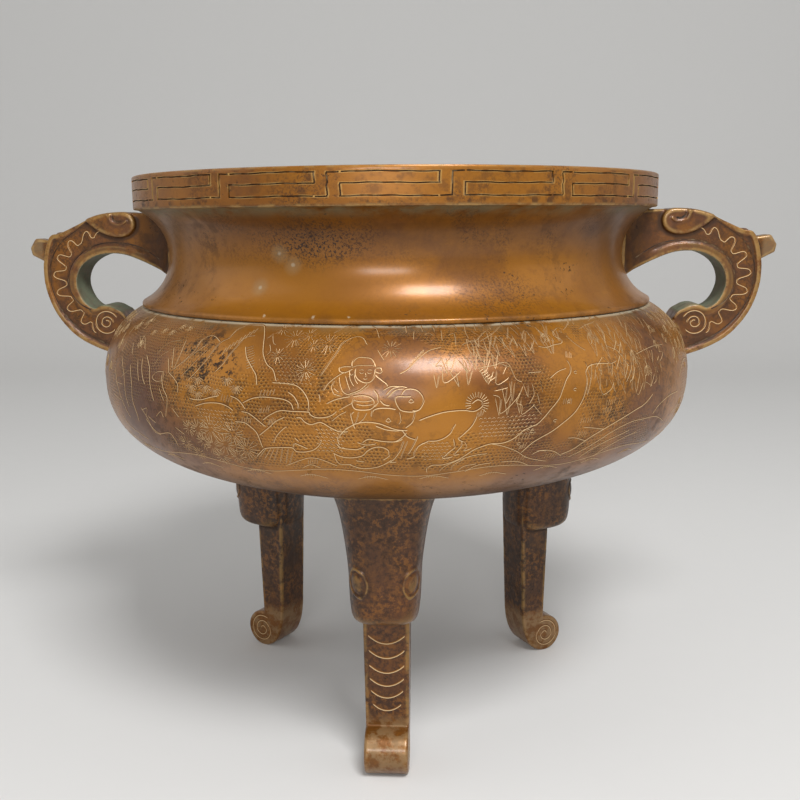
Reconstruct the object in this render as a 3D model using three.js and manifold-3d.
// Bronze incense burner with three elephant-head legs and two scrolled dragon ears.
// The vessel is two turned castings: a round belly bowl, and a waisted neck collar whose spigot drops into
// the bowl's mouth. The ears and legs are cast on their own and riveted on from inside.
// Units are millimetres and +Z is up. X runs through both ears, the front leg points along -Y, and the
// origin is on the table, under the axis of the bowl.
import * as THREE from "three";
import { mergeVertices } from "three/addons/utils/BufferGeometryUtils.js";
import Module from "manifold-3d";

const wasm = await Module();
wasm.setup();

// Fits and facets
const seatGap = 0.3; // gap where two castings meet
const shankGap = 0.3; // gap around a rivet's shank
const turnedSides = 60; // sides of the turned castings, a multiple of the three legs
const rivetSides = 16;

// Belly bowl
const bellyRadius = 153;
const bellyHeight = 188; // height of the widest girth
const bellyDrop = 58.5; // girth down to the outside of the base
const bellyFullness = 2.6; // superellipse power of the underside
const bellyWall = 4.4;
const shoulderRise = 36;
const shoulderCoreInset = 4; // mouth's edge in to the centre of the shoulder's ellipse
const mouthLand = 9; // extra thickness of the shoulder round the mouth

// Neck collar
const rimRadius = 135;
const rimHeight = 16;
const rimWidth = 10;
const rimBevel = 0.8;
const waistDepth = 16.5; // rim's outside in to the narrowest part of the neck
const collarRise = 45.2; // lip's upper edge to the underside of the rim band
const collarWall = 4.4;
const lipInset = 2; // rim's outside in to the lip's edge
const lipThickness = 2;
const lipOverhang = 1; // lip's edge beyond the flat seat that it stands on
const seatWidth = 10;
const spigotDepth = 9.5;

// Ears, drawn in the plane of the handle. Their outline is laid out on a grid of earGrid units across.
const earSpan = 64; // rim's outside to the tip of the tab
const earGrid = 64;
const earDrop = 0.9; // underside of the rim to the top of the ear
const earThickness = 19;
const earBevel = 1.2;
const outerRailWidth = 3.4;
const innerRailWidth = 4.6;
const railPoints = 26;
const earRailRise = 0.7;
const browRise = 1.7;
const lobeRadius = 9.6;
const lobeRise = 0.9;
const tabWidth = 11;
const earRootWidth = 42; // across the flare where the ear meets the neck

// Legs
const legCount = 3;
const legInset = 57.2; // girth in to the centre of the foot's scroll
const headLength = 50; // bowl's base down to the chin
const headWidth = 32.4;
const browReach = 16.8; // centre of the scroll out to the brow
const napeReach = 19.8; // centre of the scroll in to the back of the head
const headSides = 28; // points round each section of the head
const trunkWidth = 21.6;
const trunkDepth = 17.5;
const trunkBevel = 0.9;
const scrollRadius = 11.2;
const scrollWidth = 21.2;
const footFlat = 0.4; // depth of the worn flat under each scroll
const eyeRadius = 6.5;
const eyeRise = 22; // chin up to the eye

// Rivets
const legShank = 5;
const legShankLength = 18;
const legHeadRadius = 9;
const legHeadHeight = 4.2;
const earShank = 3;
const earHeadRadius = 6;
const earHeadHeight = 3;
const upperEarShankLength = 17;
const lowerEarShankLength = 20;
const upperEarRivetRise = 3; // above the waist
const lowerEarRivetRise = 18; // above the girth
const legRivetReach = 3.6; // centre of the scroll out to the rivet
// Gaps under the flat heads, which bridge the curve of the wall
const legHeadGap = 0.8;
const upperEarHeadGap = 0.5;
const lowerEarHeadGap = 1;

// Places that follow from these sizes
const lipRadius = rimRadius - lipInset;
const mouthLip = lipRadius - lipOverhang; // outer radius of the flat seat at the mouth
const mouthRadius = mouthLip - seatWidth;
const shoulderCore = mouthRadius - shoulderCoreInset;
const waistRadius = rimRadius - waistDepth;
const scrollCentre = bellyRadius - legInset;
const trunkFront = scrollCentre - 0.3;
const trunkBack = trunkFront - trunkDepth;
const chinHeight = bellyHeight - bellyDrop - headLength;
const trunkTop = chinHeight + headLength / 3;
const legRivetRadius = scrollCentre + legRivetReach;

const point = (x, y) => new THREE.Vector2(x, y);
const signedPower = (value, power) => Math.sign(value) * Math.abs(value) ** power;

// Points of a superellipse, from one angle to another in degrees.
function superArc(centreX, centreZ, a, b, power, from, to, steps) {
  return Array.from({ length: steps + 1 }, (_, i) => {
    const angle = THREE.MathUtils.degToRad(from + ((to - from) * i) / steps);
    const x = centreX + a * signedPower(Math.cos(angle), 2 / power);
    return point(x, centreZ + b * signedPower(Math.sin(angle), 2 / power));
  });
}

// Moves an outer profile, drawn upwards, away from the axis by the same distance everywhere.
function offsetProfile(profile, distance) {
  return offsetLine(profile, distance).map((p) => point(Math.max(p.x, 0), p.y));
}

// Moves a line to its right-hand side, seen along the line.
function offsetLine(line, distance) {
  const last = line.length - 1;
  return line.map((p, i) => {
    const along = line[Math.min(i + 1, last)].clone().sub(line[Math.max(i - 1, 0)]).normalize();
    return point(p.x + along.y * distance, p.y - along.x * distance);
  });
}

// A manifold solid from a closed geometry.
function solidOf(geometry) {
  const loose = geometry.index ? geometry.toNonIndexed() : geometry;
  const bare = new THREE.BufferGeometry().setAttribute("position", loose.getAttribute("position"));
  const merged = mergeVertices(bare, 1e-3);
  const index = merged.index.array;
  const kept = [];
  for (let i = 0; i < index.length; i += 3) {
    const [a, b, c] = index.slice(i, i + 3);
    if (a !== b && b !== c && c !== a) kept.push(a, b, c);
  }
  const vertProperties = merged.attributes.position.array;
  const build = (triVerts) => new wasm.Manifold(new wasm.Mesh({ numProp: 3, vertProperties, triVerts }));
  const solid = build(new Uint32Array(kept));
  return solid.volume() > 0 ? solid : build(new Uint32Array(kept.reverse()));
}

function geometryOf(solid) {
  const { vertProperties, triVerts } = solid.getMesh();
  const geometry = new THREE.BufferGeometry();
  geometry.setAttribute("position", new THREE.BufferAttribute(new Float32Array(vertProperties), 3));
  geometry.setIndex(new THREE.BufferAttribute(new Uint32Array(triVerts), 1));
  geometry.computeVertexNormals();
  return geometry;
}

function turned(profile, sides = turnedSides) {
  return solidOf(new THREE.LatheGeometry(profile, sides).rotateX(Math.PI / 2));
}

// An outline in the radius and height plane, given a thickness across Y and centred on it.
function slab(shape, thickness, bevel, curveSegments, holes = []) {
  shape.holes.push(...holes);
  const geometry = new THREE.ExtrudeGeometry(shape, {
    depth: thickness - 2 * bevel,
    bevelEnabled: bevel > 0,
    bevelThickness: bevel,
    bevelSize: bevel,
    bevelOffset: -bevel,
    bevelSegments: 1,
    curveSegments,
  });
  return solidOf(geometry.rotateX(Math.PI / 2).translate(0, thickness / 2 - bevel, 0));
}

// A closed body through a stack of rings that hold the same number of points.
function loft(rings) {
  const sides = rings[0].length;
  const positions = rings.flat().flatMap((p) => [p.x, p.y, p.z]);
  const index = [];
  for (let r = 0; r < rings.length - 1; r += 1)
    for (let i = 0; i < sides; i += 1) {
      const j = (i + 1) % sides;
      const [a, b, c, d] = [r * sides + i, r * sides + j, (r + 1) * sides + j, (r + 1) * sides + i];
      index.push(a, b, c, a, c, d);
    }
  for (let i = 1; i < sides - 1; i += 1) {
    const top = (rings.length - 1) * sides;
    index.push(0, i + 1, i, top, top + i, top + i + 1);
  }
  const geometry = new THREE.BufferGeometry();
  geometry.setAttribute("position", new THREE.Float32BufferAttribute(positions, 3));
  geometry.setIndex(index);
  return solidOf(geometry);
}

// Heights that the two vessel castings share
const mouthHeight = (() => {
  const reach = (mouthLip - shoulderCore) / (bellyRadius - shoulderCore);
  return bellyHeight + shoulderRise * Math.sqrt(1 - reach ** 2);
})();
const lipBottom = mouthHeight + seatGap;
const lipTop = lipBottom + lipThickness;
const rimBottom = lipTop + collarRise;
const rimTop = rimBottom + rimHeight;
const waistHeight = (lipTop + rimBottom) / 2;
const waistReach = lipRadius - waistRadius;
const waistCurve = ((collarRise / 2) ** 2 + waistReach ** 2) / (2 * waistReach);
const waistCentre = waistRadius + waistCurve;

// Angle of the shoulder's ellipse at a height above the girth
const shoulderAngle = (rise) => THREE.MathUtils.radToDeg(Math.asin(rise / shoulderRise));
const bellyOutline = [
  ...superArc(0, bellyHeight, bellyRadius, bellyDrop, bellyFullness, -90, 0, 13),
  ...superArc(
    shoulderCore,
    bellyHeight,
    bellyRadius - shoulderCore,
    shoulderRise,
    2,
    0,
    shoulderAngle(mouthHeight - bellyHeight),
    7,
  ).slice(1),
];

function bellyBowl() {
  const innerRise = shoulderRise - mouthLand;
  const innerRadius = bellyRadius - bellyWall;
  const innerReach = innerRadius - shoulderCore;
  const mouthAngle = THREE.MathUtils.radToDeg(Math.acos((mouthRadius - shoulderCore) / innerReach));
  const inside = [
    ...superArc(shoulderCore, bellyHeight, innerReach, innerRise, 2, mouthAngle, 0, 5),
    ...superArc(0, bellyHeight, innerRadius, bellyDrop - bellyWall, bellyFullness, 0, -90, 10).slice(1),
  ];
  return turned([...bellyOutline, point(mouthRadius, mouthHeight), ...inside]);
}

// Arc of the collar's waist, at a distance inside the outer surface, between two angles in degrees
function waistArc(inset, from, to, steps) {
  return superArc(waistCentre, waistHeight, waistCurve + inset, waistCurve + inset, 2, from, to, steps);
}

function collarOutline() {
  const sweep = THREE.MathUtils.radToDeg(Math.asin(collarRise / 2 / waistCurve));
  return [
    point(lipRadius, lipBottom),
    ...waistArc(0, 180 + sweep, 180 - sweep, 12),
    point(rimRadius - rimBevel, rimBottom),
    point(rimRadius, rimBottom + rimBevel),
    point(rimRadius, rimTop - rimBevel),
    point(rimRadius - rimBevel, rimTop),
  ];
}

function neckCollar() {
  const spigotOuter = mouthRadius - seatGap;
  const spigotInner = spigotOuter - collarWall;
  const rimInner = rimRadius - rimWidth;
  const curve = waistCurve + collarWall;
  const upper = THREE.MathUtils.radToDeg(Math.acos((waistCentre - rimInner) / curve));
  const lower = THREE.MathUtils.radToDeg(Math.acos((waistCentre - spigotInner) / curve));
  const profile = [
    ...collarOutline(),
    point(rimInner + rimBevel, rimTop),
    point(rimInner, rimTop - rimBevel),
    ...waistArc(collarWall, 180 - upper, 180 + lower, 8),
    point(spigotInner, lipBottom - spigotDepth),
    point(spigotOuter, lipBottom - spigotDepth),
    point(spigotOuter, lipBottom),
  ];
  return turned([...profile, profile[0].clone()]);
}

// The space that an ear or a leg has to stay out of: both castings, grown by the gap and filled to the axis
function vesselKeepOut() {
  const collar = offsetProfile(collarOutline(), seatGap);
  const top = point(0, collar.at(-1).y);
  const bowl = offsetProfile(bellyOutline, seatGap);
  bowl[0] = point(0, bellyHeight - bellyDrop - seatGap);
  const bowlTop = point(0, bowl.at(-1).y);
  return turned([...bowl, bowlTop]).add(turned([point(0, collar[0].y - seatGap), ...collar, top]));
}

// Rivet: a shank down the local -Z axis under a domed head whose flat face lies at the origin
function rivet(shank, length, headRadius, headHeight) {
  const dome = superArc(0, 0, headRadius, headHeight, 2, 0, 90, 4);
  return turned([point(0, -length), point(shank, -length), point(shank, 0), ...dome], rivetSides);
}

// The hole for a rivet, which goes on past the head
function rivetHole(shank, length, gap) {
  const radius = shank + gap;
  const bottom = -length - gap;
  return turned([point(0, bottom), point(radius, bottom), point(radius, length), point(0, length)], rivetSides);
}

// Seats of the rivets in an ear's or leg's own frame, where +X points away from the bowl's axis.
// Each one gives the point on the inner wall and the direction that the head faces.
function legRivetSeat() {
  const a = bellyRadius - bellyWall;
  const b = bellyDrop - bellyWall;
  const share = (legRivetRadius / a) ** bellyFullness;
  const height = bellyHeight - b * (1 - share) ** (1 / bellyFullness);
  const slope = (b / a) * (legRivetRadius / a) ** (bellyFullness - 1) * (1 - share) ** (1 / bellyFullness - 1);
  const facing = new THREE.Vector3(-slope, 0, 1).normalize();
  return { at: new THREE.Vector3(legRivetRadius, 0, height), facing, gap: legHeadGap };
}

function upperEarRivetSeat() {
  const curve = waistCurve + collarWall;
  const angle = Math.asin(upperEarRivetRise / curve);
  const at = new THREE.Vector3(waistCentre - curve * Math.cos(angle), 0, waistHeight + upperEarRivetRise);
  return { at, facing: new THREE.Vector3(-1, 0, 0), gap: upperEarHeadGap };
}

function lowerEarRivetSeat() {
  const reach = bellyRadius - bellyWall - shoulderCore;
  const rise = shoulderRise - mouthLand;
  const share = lowerEarRivetRise / shoulderRise;
  const across = Math.sqrt(1 - share ** 2);
  const facing = new THREE.Vector3(-across / reach, 0, -share / rise).normalize();
  const at = new THREE.Vector3(shoulderCore + reach * across, 0, bellyHeight + rise * share);
  return { at, facing, gap: lowerEarHeadGap };
}

// Turns the rivet's own axis to its seat and lifts its head clear of the wall.
function seatMatrix({ at, facing, gap }) {
  const turn = new THREE.Quaternion().setFromUnitVectors(new THREE.Vector3(0, 0, 1), facing);
  const place = at.clone().addScaledVector(facing, gap);
  return new THREE.Matrix4().compose(place, turn, new THREE.Vector3(1, 1, 1));
}

const moved = (solid, matrix) => solid.transform(matrix.elements);

// A place on the ear: grid units out of the rim's outside, and down from the top of the ear
const earTop = rimBottom - earDrop;
const earUnit = earSpan / earGrid;
const earPoint = ([reach, drop]) => point(rimRadius + reach * earUnit, earTop - drop * earUnit);
const earShape = (places) => new THREE.Shape(places.map(earPoint));

// The ear's loop: a C that leaves the neck under the rim and comes back to the shoulder
const earOuter = [
  [14, 0],
  [25, 1.6],
  [36, 6.6],
  [45, 10.6],
  [50.2, 11.9],
  [53.5, 18.8],
  [55.4, 31],
  [54, 43],
  [49, 55],
  [40, 65.5],
  [29, 72],
  [15, 77],
].map(earPoint);
const earInner = [
  [10.5, 58],
  [14.5, 52.2],
  [22, 50],
  [29, 50.8],
  [34.6, 46],
  [37.4, 37],
  [34, 28],
  [25, 22.4],
  [13, 21.6],
  [1, 25.4],
  [-17, 34.5],
].map(earPoint);
const lobeCentre = earPoint([22.2, 58.6]);

function earLoop() {
  const shape = earShape([[-23, 0]]);
  shape.lineTo(earOuter[0].x, earOuter[0].y);
  shape.splineThru(earOuter.slice(1));
  for (const corner of [[5, 79], [5, 58]].map(earPoint)) shape.lineTo(corner.x, corner.y);
  shape.lineTo(earInner[0].x, earInner[0].y);
  shape.splineThru(earInner.slice(1));
  const root = earPoint([-23, 36]);
  shape.lineTo(root.x, root.y);
  shape.closePath();
  return shape;
}

// A raised rail that follows one of the loop's two edges on both faces
function earRail(edge, inset, start, end) {
  const line = new THREE.SplineCurve(edge).getPoints(railPoints).slice(start, end);
  const away = offsetLine(line, inset).reverse();
  return slab(new THREE.Shape([...line, ...away]), earThickness + 2 * earRailRise, 0, 1);
}

// The dragon's brow: a teardrop that swells out of both faces at the top of the loop
function earBrow() {
  const tail = [31, 3.4];
  const bends = [
    [[25, 9.5], [19, 13], [12.5, 13]],
    [[6.5, 13], [3.2, 9.5], [3.2, 5.8]],
    [[3.2, 2], [6, 0], [9.5, 0]],
    [[17, 0], [24, 0.6], tail],
  ];
  const shape = earShape([tail]);
  for (const bend of bends) shape.bezierCurveTo(...bend.map(earPoint).flatMap((p) => [p.x, p.y]));
  return slab(shape, earThickness + 2 * browRise, earBevel, 6);
}

function earTab() {
  const outline = [[49, 15], [60.8, 13.2], [64, 18.4], [63.2, 22.4], [53, 27.6]];
  return slab(earShape(outline), tabWidth, rimBevel, 1);
}

// The upper root spreads sideways in a cove before it meets the neck
function earRoot() {
  const side = earShape([[-23, 0], [7, 0], [7, 23], [-5, 28], [-23, 37]]);
  const half = earRootWidth / 2;
  const face = earThickness / 2 - 0.2;
  const [inner, edge, bend, outer] = [-23, -17, -11, 7].map((reach) => earPoint([reach, 0]).x);
  const plan = new THREE.Shape();
  plan.moveTo(inner, -half);
  plan.lineTo(edge, -half);
  plan.quadraticCurveTo(bend, -face, outer, -face);
  plan.lineTo(outer, face);
  plan.quadraticCurveTo(bend, face, edge, half);
  plan.lineTo(inner, half);
  plan.closePath();
  const cove = new THREE.ExtrudeGeometry(plan, { depth: rimRadius, bevelEnabled: false, curveSegments: 7 });
  return slab(side, earRootWidth, 0, 1).intersect(solidOf(cove.translate(0, 0, rimBottom - rimRadius)));
}

function ear(keepOut) {
  const lobeShape = new THREE.Shape();
  lobeShape.absarc(lobeCentre.x, lobeCentre.y, lobeRadius, 0, 2 * Math.PI);
  let solid = slab(earLoop(), earThickness, earBevel, 3)
    .add(earBrow())
    .add(earTab())
    .add(slab(lobeShape, earThickness + 2 * lobeRise, 0.7, 14))
    .add(earRail(earOuter, outerRailWidth, 6, 25))
    .add(earRail(earInner, innerRailWidth, 5, 25))
    .add(earRoot());
  for (const [seat, length] of [
    [upperEarRivetSeat(), upperEarShankLength],
    [lowerEarRivetSeat(), lowerEarShankLength],
  ])
    solid = solid.subtract(moved(rivetHole(earShank, length, shankGap), seatMatrix(seat)));
  return solid.subtract(keepOut);
}

// One level section of the elephant's head, as a superellipse between its nape and its brow.
// Rise is a share of the head's length above the chin, and breadth a share of the head's width.
function headSection(rise, nape, brow, breadth, power) {
  const back = scrollCentre - napeReach + nape;
  const front = scrollCentre + browReach + brow;
  return Array.from({ length: headSides }, (_, i) => {
    const angle = (2 * Math.PI * i) / headSides;
    const x = (back + front) / 2 + ((front - back) / 2) * signedPower(Math.cos(angle), 2 / power);
    const y = (headWidth / 2) * breadth * signedPower(Math.sin(angle), 2 / power);
    return new THREE.Vector3(x, y, chinHeight + headLength * rise);
  });
}

function legHead() {
  return loft([
    headSection(0, 3, -6.5, 0.8, 3),
    headSection(0.03, 1.5, -3, 0.91, 3.2),
    headSection(0.1, 0.5, -0.8, 0.98, 3.4),
    headSection(0.28, 0, 0, 1.03, 3.4),
    headSection(0.52, 0, 0, 1.06, 3.3),
    headSection(0.76, -1, 0.2, 1.15, 3.1),
    headSection(0.98, -3, 0.8, 1.27, 2.9),
    headSection(1.14, -6, 2, 1.41, 2.7),
    headSection(1.36, -12, 5, 1.69, 2.5),
  ]);
}

// The trunk hangs from the back of the head and curls outwards into the scroll that it stands on
function legTrunk() {
  const scrollHeight = scrollRadius - footFlat;
  const shape = new THREE.Shape();
  shape.moveTo(trunkFront + 1, trunkTop);
  shape.lineTo(trunkFront - 1.4, scrollHeight);
  shape.lineTo(scrollCentre, scrollHeight);
  shape.lineTo(scrollCentre, -footFlat);
  const heel = [trunkBack + trunkDepth / 2, -footFlat, trunkBack + 2, scrollHeight * 0.8];
  shape.bezierCurveTo(...heel, trunkBack + 1.2, scrollHeight * 2.4);
  shape.lineTo(trunkBack - 1, trunkTop);
  shape.closePath();
  const scroll = new THREE.Shape();
  scroll.absarc(scrollCentre, scrollHeight, scrollRadius, 0, 2 * Math.PI);
  return slab(shape, trunkWidth, trunkBevel, 10).add(slab(scroll, scrollWidth, trunkBevel, 20));
}

// An eye that stands out of the corner between the brow and one side of the head
function legEye(side) {
  const eye = new THREE.SphereGeometry(eyeRadius, 14, 8).scale(1, 0.3, 1).rotateZ(side * -0.64);
  const x = scrollCentre + browReach - 0.6 * eyeRadius;
  return solidOf(eye.translate(x, side * (headWidth / 2 - 2.5), chinHeight + eyeRise));
}

function leg(keepOut) {
  const floorBox = new THREE.BoxGeometry(2 * bellyRadius, bellyRadius, scrollRadius);
  return legHead()
    .add(legTrunk())
    .add(legEye(1))
    .add(legEye(-1))
    .subtract(solidOf(floorBox.translate(0, 0, -scrollRadius / 2)))
    .subtract(moved(rivetHole(legShank, legShankLength, shankGap), seatMatrix(legRivetSeat())))
    .subtract(keepOut);
}

// Finishes
const bronze = (color, roughness) => new THREE.MeshStandardMaterial({ color, roughness, metalness: 0.85 });
const vesselBronze = bronze(0x96642f, 0.38);
const earBronze = bronze(0x855a2e, 0.45);
const legBronze = bronze(0x744a24, 0.45);
const rivetBronze = bronze(0x7d5a30, 0.5);

function named(name, solid, material) {
  const mesh = new THREE.Mesh(geometryOf(solid), material);
  mesh.name = name;
  return mesh;
}

function rivetMesh(name, seat, shank, length, headRadius, headHeight) {
  const mesh = named(name, rivet(shank, length, headRadius, headHeight), rivetBronze);
  mesh.applyMatrix4(seatMatrix(seat));
  return mesh;
}

// The holes that the rivets pass through, round the vessel
function rivetHoles(seat, shank, length, azimuths) {
  return azimuths.map((azimuth) => {
    const turn = new THREE.Matrix4().makeRotationZ(THREE.MathUtils.degToRad(azimuth));
    return moved(rivetHole(shank, length, shankGap), turn.multiply(seatMatrix(seat)));
  });
}

const earPlaces = [
  ["right", 0],
  ["left", 180],
];
const legPlaces = ["front", "rear_right", "rear_left"].map((name, i) => [name, -90 + (360 / legCount) * i]);
const azimuthsOf = (places) => places.map(([, azimuth]) => azimuth);

const burner = new THREE.Group();

let bowl = bellyBowl();
for (const hole of rivetHoles(legRivetSeat(), legShank, legShankLength, azimuthsOf(legPlaces)))
  bowl = bowl.subtract(hole);
for (const hole of rivetHoles(lowerEarRivetSeat(), earShank, lowerEarShankLength, azimuthsOf(earPlaces)))
  bowl = bowl.subtract(hole);
burner.add(named("belly_bowl", bowl, vesselBronze));

let collar = neckCollar();
for (const hole of rivetHoles(upperEarRivetSeat(), earShank, upperEarShankLength, azimuthsOf(earPlaces)))
  collar = collar.subtract(hole);
burner.add(named("neck_collar", collar, vesselBronze));

const keepOut = vesselKeepOut();
const earSolid = ear(keepOut);
for (const [side, azimuth] of earPlaces) {
  const group = new THREE.Group();
  group.rotation.z = THREE.MathUtils.degToRad(azimuth);
  group.add(
    named(`${side}_ear`, earSolid, earBronze),
    rivetMesh(
      `${side}_ear_upper_rivet`,
      upperEarRivetSeat(),
      earShank,
      upperEarShankLength,
      earHeadRadius,
      earHeadHeight,
    ),
    rivetMesh(
      `${side}_ear_lower_rivet`,
      lowerEarRivetSeat(),
      earShank,
      lowerEarShankLength,
      earHeadRadius,
      earHeadHeight,
    ),
  );
  burner.add(group);
}

const legSolid = leg(keepOut);
for (const [place, azimuth] of legPlaces) {
  const group = new THREE.Group();
  group.rotation.z = THREE.MathUtils.degToRad(azimuth);
  group.add(
    named(`${place}_leg`, legSolid, legBronze),
    rivetMesh(`${place}_leg_rivet`, legRivetSeat(), legShank, legShankLength, legHeadRadius, legHeadHeight),
  );
  burner.add(group);
}

export default burner;
